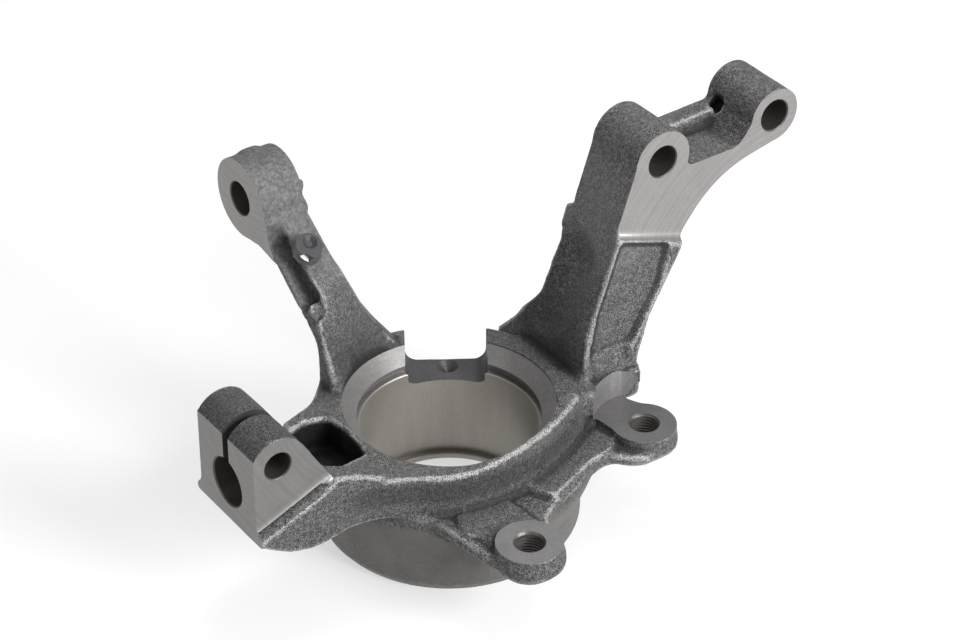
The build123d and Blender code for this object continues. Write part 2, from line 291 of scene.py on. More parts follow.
@dataclass(frozen=True)
class Drawing:
    """The machined sizes and places, which the raw casting and its cutters share."""

    seat_r: float = 40.0
    lip_r: float = 36.8
    lip_t: float = 3.0
    groove_r: float = 43.0
    groove_z: float = 49.4
    groove_w: float = 4.3
    cone_r: float = 41.2
    mouth_r: float = 47.8
    notch_angle: float = 147.0
    notch_w: float = 37.6
    notch_z: float = 43.0
    ear_z: float = 45.3
    ears: tuple[Point, Point] = ((47.0, 73.7), (85.2, -17.9))
    tap_r: float = 6.25
    clamp_x: float = 3.2
    clamp_w: float = 44.7
    clamp_y: float = -116.3
    stud_r: float = 11.3
    stud_z: float = 69.3
    slit_w: float = 4.4
    pinch: Point = (-104.4, 86.5)
    pinch_r: float = 6.3
    strut_x: Span = (-12.0, 19.5)
    strut_holes: tuple[Point, Point] = ((100.4, 159.2), (163.8, 161.0))
    strut_r: float = 7.5
    eye: Point = (-107.0, 125.6)
    eye_y: Span = (-39.8, -17.8)
    eye_r: float = 8.0
    eye_slope: float = 2.9
    stub_foot: Point = (-69.8, -29.2, 112.2)
    stub_lean: float = 30.0

    @property
    def mouth_z(self) -> float:
        """Where the entry cone ends and the cast mouth begins."""
        return self.groove_z + self.groove_w + self.mouth_r - self.cone_r

    @property
    def clamp_sides(self) -> Span:
        """The clamp's two milled sides along X."""
        return self.clamp_x - self.clamp_w / 2, self.clamp_x + self.clamp_w / 2

    @property
    def stud(self) -> Point:
        """The (x, z) of the ball stud's bore."""
        return self.clamp_x, self.stud_z

    @property
    def notch_turn(self) -> Matrix:
        """The turn that brings +X to the middle of the rim's notch."""
        return Matrix.Rotation(math.radians(self.notch_angle), 4, "Z")

    @property
    def stub_place(self) -> Matrix:
        """Where the casting runner's stub stands on the steering arm."""
        return Matrix.Translation(self.stub_foot) @ Matrix.Rotation(math.radians(self.stub_lean), 4, "Y")


@dataclass(frozen=True)
class Rounding:
    """A ball of the casting that is smoothed, fully inside half its radius."""

    centre: Point
    radius: float
    turns: int

    def weight(self, p: Vector) -> float:
        """How far a point is smoothed, over 1 near the middle and under 0 outside."""
        return 2 - 2 * (p - Vector(self.centre)).length / self.radius


@dataclass
class CastForms:
    """The raw casting before any machining: skin, roundings and stock on the faces to be cut."""

    plan: Drawing = Drawing()
    stock: float = 2.0
    voxel: float = 1.15
    first_voxel: float = 0.8     # share of the last voxel
    plug_gap: float = 0.2        # a plug is this much smaller than its hole
    bore_plug_r: float = 47.2
    tap_plug_r: float = 6.9
    pocket_y: float = -79.4
    eye_inner_x: float = -90.0
    foot_top: float = 57.6
    panel_x: float = 20.8
    beyond: float = 60.0
    grain: float = 0.09
    swell: float = 0.12
    calm: float = 0.35           # share of both on the steering arm and the skirt
    arm_roots: tuple[Rounding, ...] = (
        Rounding((6, 52, 64), 24, 14), Rounding((27, 49, 61), 17, 26), Rounding((33, 49, 60), 14, 8),
        Rounding((-8, 52, 92), 34, 16), Rounding((-18, 73, 116), 15, 14), Rounding((-49, -34, 91), 17, 20),
        Rounding((-79, -35, 115), 9, 8), Rounding((-22, 56, 60), 16, 10), Rounding((-46, -20, 62), 20, 10))
    cheek_root: Rounding = Rounding((34, -48, 44), 20, 12)
    wall_turns: int = 8

    def flats(self) -> list[tuple[Axis, float, int]]:
        """Each flat that will be machined: its axis, its place and the way it looks."""
        plan = self.plan
        left, right = plan.clamp_sides
        return [(Axis.X, plan.strut_x[1], 1), (Axis.X, plan.strut_x[0], -1), (Axis.X, right, 1),
                (Axis.X, left, -1), (Axis.Y, plan.clamp_y, -1), (Axis.Y, plan.eye_y[0], -1),
                (Axis.Y, plan.eye_y[1], 1), (Axis.Z, plan.ear_z, 1), (Axis.Z, 0.0, -1)]

    def add_stock(self, blank: Piece) -> None:
        """Extrude each face that will be machined outwards by the stock."""
        square, near = 0.9995, 0.03
        for axis, value, sign in self.flats():
            def pick(mesh: bmesh.types.BMesh) -> None:
                """Select the faces on this plane, and at the eye's far side only the eye's own."""
                for face in mesh.faces:
                    middle, i = face.calc_center_median() / MM, axis.value
                    flat = face.normal[i] * sign > square and abs(middle[i] - value) < near
                    arm = value == self.plan.eye_y[1] and middle.x > self.eye_inner_x
                    if flat and not arm:
                        for part in (face, *face.verts, *face.edges):
                            part.select = True

            def grow() -> None:
                """Extrude the selected faces by the stock."""
                bpy.ops.mesh.select_mode(type="FACE")
                bpy.ops.mesh.extrude_region_move(
                    TRANSFORM_OT_translate={"value": axis.unit() * sign * self.stock * MM})

            Bench.edit(blank, pick, grow)

    def plugs(self) -> list[Piece]:
        """Solid iron where the bores, holes, slit and notch will be."""
        plan, s, gap = self.plan, self.stock, self.plug_gap
        left, right = plan.clamp_sides
        slit = (plan.clamp_x - 2.3, plan.clamp_x + 2.3)
        strut = (plan.strut_x[0] - s, plan.strut_x[1] + s)
        crest = Bench.rod(self.bore_plug_r, Axis.Z, (0, 0), (50, 80))
        slope = Bench.prism([(-26, 40), (-26, 60), (-8, 62.5), (10, 65, 20), (62, 67), (62, 40)],
                            Axis.X, (30, 70))
        Bench.boolean(crest, slope, "INTERSECT")
        notch = Bench.prism([(40, -18.5), (56.2, -18.5), (56.2, 18.5), (40, 18.5)], Axis.Z, (42, 60.8))
        jaw = Bench.prism([(-118, 66), (-118, 90.5), (-116.3, 90.5), (-104.4, 97), (-93.2, 94.4, 6),
                           (-79.4, 71.4), (-79.4, 66)], Axis.X, slit)
        holes = [Bench.rod(13.4, Axis.X, plan.pinch, slit)]
        holes += [Bench.rod(plan.strut_r - gap, Axis.X, hole, strut) for hole in plan.strut_holes]
        holes += [Bench.rod(plan.stud_r - gap, Axis.Y, plan.stud, (plan.clamp_y - s, self.pocket_y)),
                  Bench.rod(plan.pinch_r - gap, Axis.X, plan.pinch, (left - s, right + s)),
                  Bench.rod(plan.eye_r - gap / 2, Axis.Y, plan.eye, (plan.eye_y[0] - s, plan.eye_y[1] + s))]
        holes += [Bench.rod(self.tap_plug_r, Axis.Z, ear, (under, plan.ear_z + s))
                  for ear, under in zip(plan.ears, (35.2, 31.8))]
        return [Bench.rod(self.bore_plug_r, Axis.Z, (0, 0), (-s, 60.9)), crest,
                Bench.move(notch, plan.notch_turn), jaw, *holes]

    def eye_mark(self) -> Piece:
        """The low bump that the mould left on top of the eye."""
        return Bench.rod(7.5, Axis.Y, (-112.7, 137.5), (-33, -24.5), sides=24)

    def late_forms(self) -> list[Piece]:
        """What the strut arm's foot stands in, the steering channel's end and the plate's low step."""
        top = self.foot_top
        # The foot's ledge, bridge, saddle, ramp and toe, then the channel's end and the step.
        outlines = (
            ([(15, 50), (29.5, 50), (33, 56, 2), (27.5, 80, 4), (22, 86), (12, 86)], Axis.Z, (48, top)),
            ([(24, 40), (37.5, 40.5), (34.2, 49, 3), (30.5, 56.5), (20, 62), (14, 52)], Axis.Z, (44, 60.4)),
            ([(12, 50), (31, 47), (31.5, 54), (22, 61), (10, 60)], Axis.Z, (50, 61.4)),
            ([(41, 50), (41, 61.3), (58, 60), (78, 57.8), (78, 50)], Axis.X, (18, 33.5)),
            ([(14, 76), (24.4, 78, 1), (26, 84, 2), (24.6, 89, 2), (14, 88)], Axis.Z, (42.6, top)),
            ([(-56.5, 89.5), (-48, 81), (-47, 86), (-51.5, 95), (-54, 97)], Axis.Y, (-38.4, -26)),
            ([(49.4, -29.9), (57.1, -33.2, 4), (63.5, -33.5, 2), (64.9, -30.3, 1.5), (69.1, -29.1, 2),
              (74.4, -29.7), (82, -28), (85, -18), (72, -4), (50, -6)], Axis.Z, (38, 41.4)))
        return [Bench.prism(*outline) for outline in outlines]

    def stub(self) -> Piece:
        """The end of a casting runner on the steering arm, before it is sheared."""
        return Bench.move(Bench.rod(6.6, Axis.Z, (0, 0), (0, 11), top=6.0, sides=40), self.plan.stub_place)

    def trim(self, blank: Piece) -> None:
        """Take off the arm's outer side over the foot, its sunk panel and a corner of the web."""
        top, far, panel = self.foot_top, self.beyond, self.panel_x
        outlines = (
            ([(24.2, top), (far, top), (far, 95), (22.9, 84)], Axis.Y, (46, 110)),
            ([(panel, 79), (20.9, 72, 8), (24.4, 57.7), (far, 57.7), (far, 79)], Axis.Y, (61, 83.5)),
            ([(76.6, 127.2, 2), (104.5, 117, 3), (99, 95), (84.5, 71), (60.4, 71), (64.2, 92)],
             Axis.X, (panel, far)),
            ([(147.5, 152), (156, 156.5), (147.5, 172)], Axis.X, (-8.5, -1)))
        for outline in outlines:
            Bench.boolean(blank, Bench.prism(*outline))

    @staticmethod
    def wall_foot(p: Vector) -> float:
        """1 in the corner between the housing's thin wall and the plate, else 0."""
        near_wall = 48 < math.hypot(p.x, p.y) < 57 and 38.5 < p.z < 47
        return 1.0 if near_wall and p.x > 15 and p.y < 40 else 0.0

    @staticmethod
    def smooth(blank: Piece, weight: Callable[[Vector], float], turns: int) -> None:
        """Smooth one region, to the roundings that the casting has there.

        Args:
            blank: The casting. Every vertex joins the group, because an empty one smooths everything.
            weight: The share at a point in millimetres, cut to between 0 and 1.
            turns: Smoothing steps.
        """
        group = blank.vertex_groups.new(name="blend")
        for vert in blank.data.vertices:
            group.add([vert.index], min(1.0, max(0.0, weight(vert.co / MM))), "REPLACE")
        Bench.apply(blank, "SMOOTH", factor=0.5, iterations=turns, vertex_group=group.name)
        blank.vertex_groups.clear()

    def blends(self, blank: Piece) -> None:
        """The large roundings: arm roots, housing wall to plate, cheek to housing."""
        for root in self.arm_roots:
            self.smooth(blank, root.weight, root.turns)
        self.smooth(blank, self.wall_foot, self.wall_turns)
        self.smooth(blank, self.cheek_root.weight, self.cheek_root.turns)

    def roughen(self, blank: Piece) -> None:
        """Give the skin the slight waves and grain of sand casting."""
        mesh = blank.data
        normals = [vert.normal.copy() for vert in mesh.vertices]
        for vert, normal in zip(mesh.vertices, normals):
            spot = vert.co / MM
            wave = noise.noise(spot * 0.075)
            grain = noise.noise(spot * 0.55)
            arm, skirt = spot.x < -60 and spot.z > 70, spot.z < 30 and spot.y > -62
            share = self.calm if arm or skirt else 1.0
            vert.co += normal * (self.swell * wave + self.grain * grain) * share * MM
        mesh.update()

    def build(self, node: Piece) -> Piece:
        """The casting's skin from the CAD node.

        Args:
            node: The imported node, which stays as it is.

        Returns:
            A new closed object with rounded corners and stock for the cutters.
        """
        blank = bpy.data.objects.new("casting_body", node.data.copy())
        bpy.context.collection.objects.link(blank)
        blank.data.materials.clear()
        Bench.outward(blank)
        self.add_stock(blank)
        Bench.join(blank, *self.plugs(), self.eye_mark())
        Bench.apply(blank, "REMESH", mode="VOXEL", voxel_size=self.first_voxel * self.voxel * MM)
        Bench.apply(blank, "SMOOTH", factor=0.5, iterations=4)
        self.trim(blank)
        Bench.join(blank, *self.late_forms(), self.stub())
        Bench.apply(blank, "REMESH", mode="VOXEL", voxel_size=self.voxel * MM)
        Bench.apply(blank, "SMOOTH", factor=0.5, iterations=1)
        self.blends(blank)
        self.roughen(blank)
        blank.data.materials.clear()
        return blank


class Relief:
    """How far each spot of the raw casting stands out of (+) or lies under (-) its smoothed form.

    A few smoothing turns leave the small edges, and many leave the large forms.
    """

    TURNS = {"edge": 6, "form": 160}

    def __init__(self, blank: Piece) -> None:
        """Measure the raw casting, in millimetres at each vertex."""
        mesh = blank.data
        self.places = [vert.co.copy() for vert in mesh.vertices]
        start, normal = self.read(mesh.vertices, "co", 3), self.read(mesh.vertices, "normal", 3)
        pairs = self.read(mesh.edges, "vertices", 2, np.int64)
        ends, starts = np.concatenate((pairs, pairs[:, ::-1])).T
        count = np.bincount(ends, minlength=len(start)).clip(1)[:, None]
        self.levels = {}
        for name, turns in self.TURNS.items():
            now = start.copy()
            for _ in range(turns):
                near = [np.bincount(ends, weights=now[starts, i], minlength=len(now)) for i in range(3)]
                now += 0.5 * (np.stack(near, 1) / count - now)
            self.levels[name] = (((start - now) * normal).sum(1) / MM).tolist()

    @staticmethod
    def read(rows: bpy.types.bpy_prop_collection, name: str, width: int, kind: type = float) -> np.ndarray:
        """One property of all the vertices or edges, as rows of numbers."""
        values = np.zeros(len(rows) * width, dtype=kind)
        rows.foreach_get(name, values)
        return values.reshape(-1, width)

    def write(self, body: Piece) -> None:
        """Write the levels to the cut body's vertices, from the nearest raw one, as attributes."""
        tree = kdtree.KDTree(len(self.places))
        for index, place in enumerate(self.places):
            tree.insert(place, index)
        tree.balance()
        nearest = [tree.find(vert.co)[1] for vert in body.data.vertices]
        for name, values in self.levels.items():
            layer = body.data.attributes.new(name, "FLOAT", "POINT")
            layer.data.foreach_set("value", [values[index] for index in nearest])


@dataclass
class Machining:
    """Every cutter that goes over the casting, at the drawing's sizes."""

    plan: Drawing = Drawing()
    edge: float = 0.5
    under: float = -5.0
    throat_top: float = 76.0
    notch_nose: float = 6.0
    dimple_angle: float = 146.0
    dimple_at: float = 50.8
    pad_radii: Span = (23.0, 19.0)
    pad_top: float = 60.0
    pitch: float = 1.5
    thread_r: float = 7.0
    thread_turns: int = 10
    thread_starts: Span = (31.0, 28.0)
    clamp_nose: float = 6.0
    strut_nose: float = 4.5

    def bearing(self) -> Piece:
        """Lip, seat, ring groove and entry cone."""
        plan, e = self.plan, self.edge
        cone = plan.groove_z + plan.groove_w
        profile = [(0, self.under), (plan.lip_r + e, self.under), (plan.lip_r + e, 0), (plan.lip_r, e),
                   (plan.lip_r, plan.lip_t - e), (plan.lip_r + e, plan.lip_t), (plan.seat_r, plan.lip_t),
                   (plan.seat_r, plan.groove_z - e), (plan.seat_r + e, plan.groove_z),
                   (plan.groove_r, plan.groove_z), (plan.groove_r, cone), (plan.cone_r, cone),
                   (plan.mouth_r, plan.mouth_z), (0, plan.mouth_z)]
        cutter = Bench.paint(Bench.turned(profile), Skin.TURNED)
        for face in cutter.data.polygons:
            if face.center.z / MM > plan.groove_z - 0.1:
                face.material_index = Skin.CONE.value
        return cutter

    def throat(self) -> Piece:
        """The cast wall of the mouth, which opens a little above the entry cone."""
        r, low, top = self.plan.mouth_r, self.plan.mouth_z - 0.01, self.throat_top
        return Bench.paint(Bench.turned([(0, low), (r, low), (r + 0.8, 66.0), (r + 5, top), (0, top)]),
                           Skin.CAST)

    def rim_notch(self) -> Piece:
        """The notch in the rim and the flat behind it."""
        half, floor, nose = self.plan.notch_w / 2, self.plan.notch_z, self.notch_nose
        notch = Bench.prism([(-half, 100), (-half, floor, nose), (half, floor, nose), (half, 100)],
                            Axis.X, (self.plan.seat_r - 4, 76))
        return Bench.paint(Bench.move(notch, self.plan.notch_turn), Skin.NOTCH)

    def dimple(self) -> Piece:
        """The drilled dimple in the notch's floor."""
        turn, floor, half = math.radians(self.dimple_angle), self.plan.notch_z, 4.4
        place = (self.dimple_at * math.cos(turn), self.dimple_at * math.sin(turn))
        return Bench.paint(Bench.rod(0.5, Axis.Z, place, (floor - half, floor + half), top=9.7),
                           Skin.DRILLED)

    def thread(self, place: Point, start: float) -> Piece:
        """The thread's groove as one helical ridge to cut with."""
        outer, inner, tip, foot = self.thread_r, 5.9, 0.09, 0.71
        profile = ((inner, -foot), (outer, -tip), (outer, tip), (inner, foot))
        ridge = Bench.outline([Vector((r, 0, z)) for r, z in profile])
        Bench.apply(ridge, "SCREW", angle=FULL_TURN, screw_offset=self.pitch * MM, steps=40,
                    render_steps=40, iterations=self.thread_turns, axis="Z", use_merge_vertices=False)
        Bench.edit(ridge, Bench.everything, lambda: bpy.ops.mesh.fill_holes(sides=4))
        Bench.outward(ridge)
        return Bench.paint(Bench.move(ridge, Matrix.Translation((*place, start))), Skin.DRILLED)

    def stub(self) -> list[Piece]:
        """The shear across the casting runner's end, the pit in it and the tear at its side."""
        place = self.plan.stub_place
        shear = Bench.move(Bench.rod(9, Axis.Z, (0, 0), (7.6, 16), sides=32), place)
        pit = Bench.move(Bench.rod(1.6, Axis.Z, (-1.2, 1.0), (6.0, 9), top=5.6, sides=7), place)
        tear = Bench.move(Bench.rod(3.2, Axis.Z, (0, 0), (0, 12), sides=5),
                          place @ Matrix.Translation((4.6, -4.6, 4.4)) @ Matrix.Rotation(0.5, 4, "Y"))
        return [Bench.paint(shear, Skin.NOTCH), Bench.paint(pit, Skin.NOTCH), Bench.paint(tear, Skin.WALL)]

    def ears(self) -> list[Piece]:
        """The ears' faces, tapped holes and threads."""
        plan, z = self.plan, self.plan.ear_z
        first, second = (Bench.rod(radius, Axis.Z, ear, (z, self.pad_top), sides=sides)
                         for radius, ear, sides in zip(self.pad_radii, plan.ears, (128, 96)))
        Bench.paint(first, Skin.WALL)
        for face in first.data.polygons:
            if face.normal.z < -0.9:
                face.material_index = Skin.PAD.value
        cutters = [first, Bench.paint(second, Skin.PAD)]
        for ear, start in zip(plan.ears, self.thread_starts):
            sink = Bench.rod(5.8, Axis.Z, ear, (z - 1.5, z + 1.5), top=8.4)
            cutters += [Bench.paint(Bench.rod(plan.tap_r, Axis.Z, ear, (20, 60)), Skin.DRILLED),
                        Bench.paint(sink, Skin.DRILLED), self.thread(ear, start)]
        return cutters

    def side_mills(self, faces: Span, start: Span, slope: float, nose: float, reach: tuple,
                   skin: Skin) -> list[Piece]:
        """Two cutters with rounded noses, which run along a sloping line beside two milled faces.

        Args:
            faces: Where the low and the high face lie along X.
            start: The (y, z) of a point on the line.
            slope: The line's angle to Y, in degrees.
            nose: The radius of the cutter's corner.
            reach: Outline, axis and span of the block that a cutter stays in.
            skin: The finish that they leave.

        Returns:
            The cutter of the high face, then that of the low face.
        """
        mills = []
        for face, outward in ((faces[1], 1), (faces[0], -1)):
            mill = Bench.prism([(0, 0, nose), (40 * outward, 0), (40 * outward, 90), (0, 90)],
                               Axis.Y, (-80, 150))
            place = Matrix.Translation((face, *start)) @ Matrix.Rotation(math.radians(slope), 4, "X")
            Bench.outward(Bench.move(mill, place))
            Bench.boolean(mill, Bench.prism(*reach), "INTERSECT")
            mills.append(Bench.paint(mill, skin))
        return mills

    def cross_hole(self, radius: float, place: Point, faces: Span) -> list[Piece]:
        """A drilled hole along X through two faces, with its edges broken."""
        low, high = faces
        e, wide = self.edge, radius + 2 * self.edge
        hole = Bench.rod(radius, Axis.X, place, (low - 9, high + 9))
        rims = [Bench.rod(radius, Axis.X, place, (high - e, high + e), top=wide),
                Bench.rod(wide, Axis.X, place, (low - e, low + e), top=radius)]
        return [Bench.paint(tool, Skin.DRILLED) for tool in (hole, *rims)]

    def clamp(self) -> list[Piece]:
        """The clamp's milled faces, stud bore, slit and pinch hole."""
        plan, y, half = self.plan, self.plan.clamp_y, self.plan.slit_w / 2
        x, z, tall = plan.clamp_x, plan.stud_z, (20, 140)
        reach = ([(-60, y - 20), (60, y - 20), (60, -40), (-60, -40)], Axis.Z, tall)
        mills = self.side_mills(plan.clamp_sides, (y, 53.2), 21.5, self.clamp_nose, reach, Skin.CLAMP)
        front = Bench.prism([(-60, y - 12), (60, y - 12), (60, y), (-60, y)], Axis.Z, tall)
        bore = Bench.rod(plan.stud_r, Axis.Y, plan.stud, (y - 6, -77), sides=96)
        lead = Bench.rod(12.5, Axis.Y, plan.stud, (y - 0.6, y + 0.6), top=plan.stud_r, sides=96)
        slit = Bench.prism([(x - half, z), (x + half, z), (x + half, 130), (x - half, 130)],
                           Axis.Y, (y - 6, -69))
        return [*mills, Bench.paint(front, Skin.CLAMP),
                *[Bench.paint(tool, Skin.DRILLED) for tool in (bore, lead, slit)],
                *self.cross_hole(plan.pinch_r, plan.pinch, plan.clamp_sides)]

    def strut(self) -> list[Piece]:
        """The bracket's milled faces and bolt holes."""
        plan = self.plan
        reach = ([(50, 100), (200, 60), (200, 200), (50, 200)], Axis.X, (-60, 60))
        cutters = self.side_mills(plan.strut_x, (74.4, 129.0), -21.4, self.strut_nose, reach, Skin.MILLED)
        for hole in plan.strut_holes:
            cutters += self.cross_hole(plan.strut_r, hole, plan.strut_x)
        return cutters

    def eye(self) -> list[Piece]:
        """The eye's faces and its tapered hole."""
        (near, far), r, e = self.plan.eye_y, self.plan.eye_r, self.edge
        narrow = r - (far - near) * math.tan(math.radians(self.plan.eye_slope))
        cutters = [Bench.paint(Bench.prism([(-135, 100), (x, 100), (x, 150), (-135, 150)], Axis.Y, span),
                               Skin.EYE)
                   for x, span in ((-78, (-50, near)), (-91, (far, -8)))]
        taper = Bench.rod(r, Axis.Y, self.plan.eye, (near - 0.01, far + 0.01), top=narrow)
        mouth = Bench.rod(r + 2 * e, Axis.Y, self.plan.eye, (near - e, near + e), top=r)
        return [*cutters, Bench.paint(taper, Skin.DRILLED), Bench.paint(mouth, Skin.DRILLED)]

    def base(self) -> Piece:
        """The flat outboard face."""
        plate = Bench.prism([(-70, -150), (120, -150), (120, 110), (-70, 110)], Axis.Z, (-20, 0))
        return Bench.paint(plate, Skin.TURNED)

    def cut(self, body: Piece) -> None:
        """Run every cutter over the casting."""
        tools = [self.base(), self.bearing(), self.throat(), self.rim_notch(), self.dimple(),
                 *self.stub(), *self.ears(), *self.clamp(), *self.strut(), *self.eye()]
        for tool in tools:
            before = len(body.data.polygons)
            Bench.boolean(body, tool)
            log.info("cut: %d faces before, %d after", before, len(body.data.polygons))


class Value:
    """A shader socket that takes part in Python arithmetic."""

    def __init__(self, tree: "Recipe", socket: bpy.types.NodeSocket) -> None:
        """Wrap a socket of a recipe."""
        self.tree, self.socket = tree, socket

    def _do(self, operation: str, first: object, second: object) -> "Value":
        """Add a Math node on two values or numbers."""
        return self.tree.node("ShaderNodeMath", {"operation": operation}, {0: first, 1: second})

    def __add__(self, other: object) -> "Value":
        """Sum."""
        return self._do("ADD", self, other)

    __radd__ = __add__

    def __sub__(self, other: object) -> "Value":
        """Difference."""
        return self._do("SUBTRACT", self, other)

    def __rsub__(self, other: object) -> "Value":
        """Difference from a number."""
        return self._do("SUBTRACT", other, self)

    def __mul__(self, other: object) -> "Value":
        """Product."""
        return self._do("MULTIPLY", self, other)

    __rmul__ = __mul__

    def __neg__(self) -> "Value":
        """This value with its sign turned."""
        return self * -1.0

    def clamped(self) -> "Value":
        """This value kept between 0 and 1."""
        return self._do("MAXIMUM", self._do("MINIMUM", self, 1.0), 0.0)


class Recipe:
    """The nodes of one procedural material, or of the world."""

    def __init__(self, block: bpy.types.ID) -> None:
        """Start from the shader and the output that Blender gives a new material or world."""
        block.use_nodes = True
        self.block = block
        self.nodes, self.links = block.node_tree.nodes, block.node_tree.links
        self.surface, self.end = (next(n for n in self.nodes if n.bl_idname in kinds) for kinds in (
            ("ShaderNodeBsdfPrincipled", "ShaderNodeBackground"),
            ("ShaderNodeOutputMaterial", "ShaderNodeOutputWorld")))

    @classmethod
    def material(cls, name: str) -> "Recipe":
        """The recipe of a new material."""
        return cls(bpy.data.materials.new(name))

    @cached_property
    def coordinates(self) -> Value:
        """The place on the object, in metres."""
        return self.node("ShaderNodeTexCoord", {}, {}, "Object")

    def node(self, kind: str, settings: dict, inputs: dict, output: object = 0) -> Value:
        """Add a node.

        Args:
            kind: The node's type.
            settings: Its properties, which are set first.
            inputs: Values or links by socket name or number.
            output: The socket to return.

        Returns:
            The chosen output, ready for arithmetic.
        """
        node = self.nodes.new(kind)
        for name, value in settings.items():
            setattr(node, name, value)
        for name, value in inputs.items():
            self.put(node.inputs[name], value)
        return Value(self, node.outputs[output])

    def put(self, socket: bpy.types.NodeSocket, value: object) -> None:
        """Link or set one input socket."""
        if isinstance(value, Value):
            self.links.new(value.socket, socket)
        elif isinstance(value, tuple) and len(value) == 3 and socket.type == "RGBA":
            socket.default_value = (*value, 1)
        else:
            socket.default_value = value

    def noise(self, scale: float, detail: float, rough: float, at: Optional[Value] = None) -> Value:
        """Noise with features about 1/scale of a metre."""
        return self.node("ShaderNodeTexNoise", {}, {"Vector": at or self.coordinates, "Scale": scale,
                                                    "Detail": detail, "Roughness": rough}, "Fac")

    def attribute(self, name: str) -> Value:
        """A level that the mesh carries at its vertices."""
        return self.node("ShaderNodeAttribute", {"attribute_name": name}, {}, "Fac")

    def step(self, value: Value, low: float, high: float) -> Value:
        """A soft step from 0 at low to 1 at high."""
        return self.node("ShaderNodeMapRange", {"interpolation_type": "SMOOTHSTEP"},
                         {"Value": value, "From Min": low, "From Max": high}, "Result")

    def mix(self, factor: object, a: object, b: object) -> Value:
        """Two colours mixed."""
        return self.node("ShaderNodeMix", {"data_type": "RGBA"}, {0: factor, 6: a, 7: b}, 2)

    def split(self) -> tuple[Value, ...]:
        """The object's x, y and z."""
        part = self.node("ShaderNodeSeparateXYZ", {}, {0: self.coordinates})
        return tuple(Value(self, output) for output in part.socket.node.outputs)

    def stretched(self, scale: Point) -> Value:
        """Object coordinates scaled for a directional pattern."""
        return self.node("ShaderNodeMapping", {}, {"Vector": self.coordinates, "Scale": scale}, "Vector")

    def bump(self, height: Value, distance: float, strength: float, under: Optional[Value] = None) -> Value:
        """A bump over the plain surface or over another bump, with its distance in metres."""
        inputs = {"Height": height, "Distance": distance, "Strength": strength}
        if under:
            inputs["Normal"] = under
        return self.node("ShaderNodeBump", {}, inputs, "Normal")

    def finish(self, **sockets: object) -> bpy.types.ID:
        """Set the surface's sockets by name, with _ for spaces, and return the material."""
        for name, value in sockets.items():
            self.put(self.surface.inputs[name.replace("_", " ")], value)
        return self.block

    def blend_surface(self, share: Value, other: Value) -> None:
        """Mix another shader over the surface."""
        plain = Value(self, self.surface.outputs[0])
        mixed = self.node("ShaderNodeMixShader", {}, {0: share, 1: plain, 2: other})
        self.put(self.end.inputs["Surface"], mixed)


@dataclass(frozen=True)
class Zone:
    """A box of the casting whose skin differs, in millimetres; an axis with no span is left free."""

    x: Optional[Span] = None
    y: Optional[Span] = None
    z: Optional[Span] = None
    soft: float = 1.0

    def mask(self, r: Recipe, place: Sequence[Value]) -> Value:
        """1 inside the box, fading over soft to each side of its borders."""
        share: object = 1.0
        for axis, span in zip(place, (self.x, self.y, self.z)):
            if span:
                low, high, soft = span[0] * MM, span[1] * MM, self.soft * MM
                above = r.step(axis, low - soft, low + soft)
                share = above * r.step(-axis, -high - soft, -high + soft) * share
        return share


def shaded(colour: Colour, share: float) -> Colour:
    """A colour brought down or up by a share."""
    return tuple(v * share for v in colour)


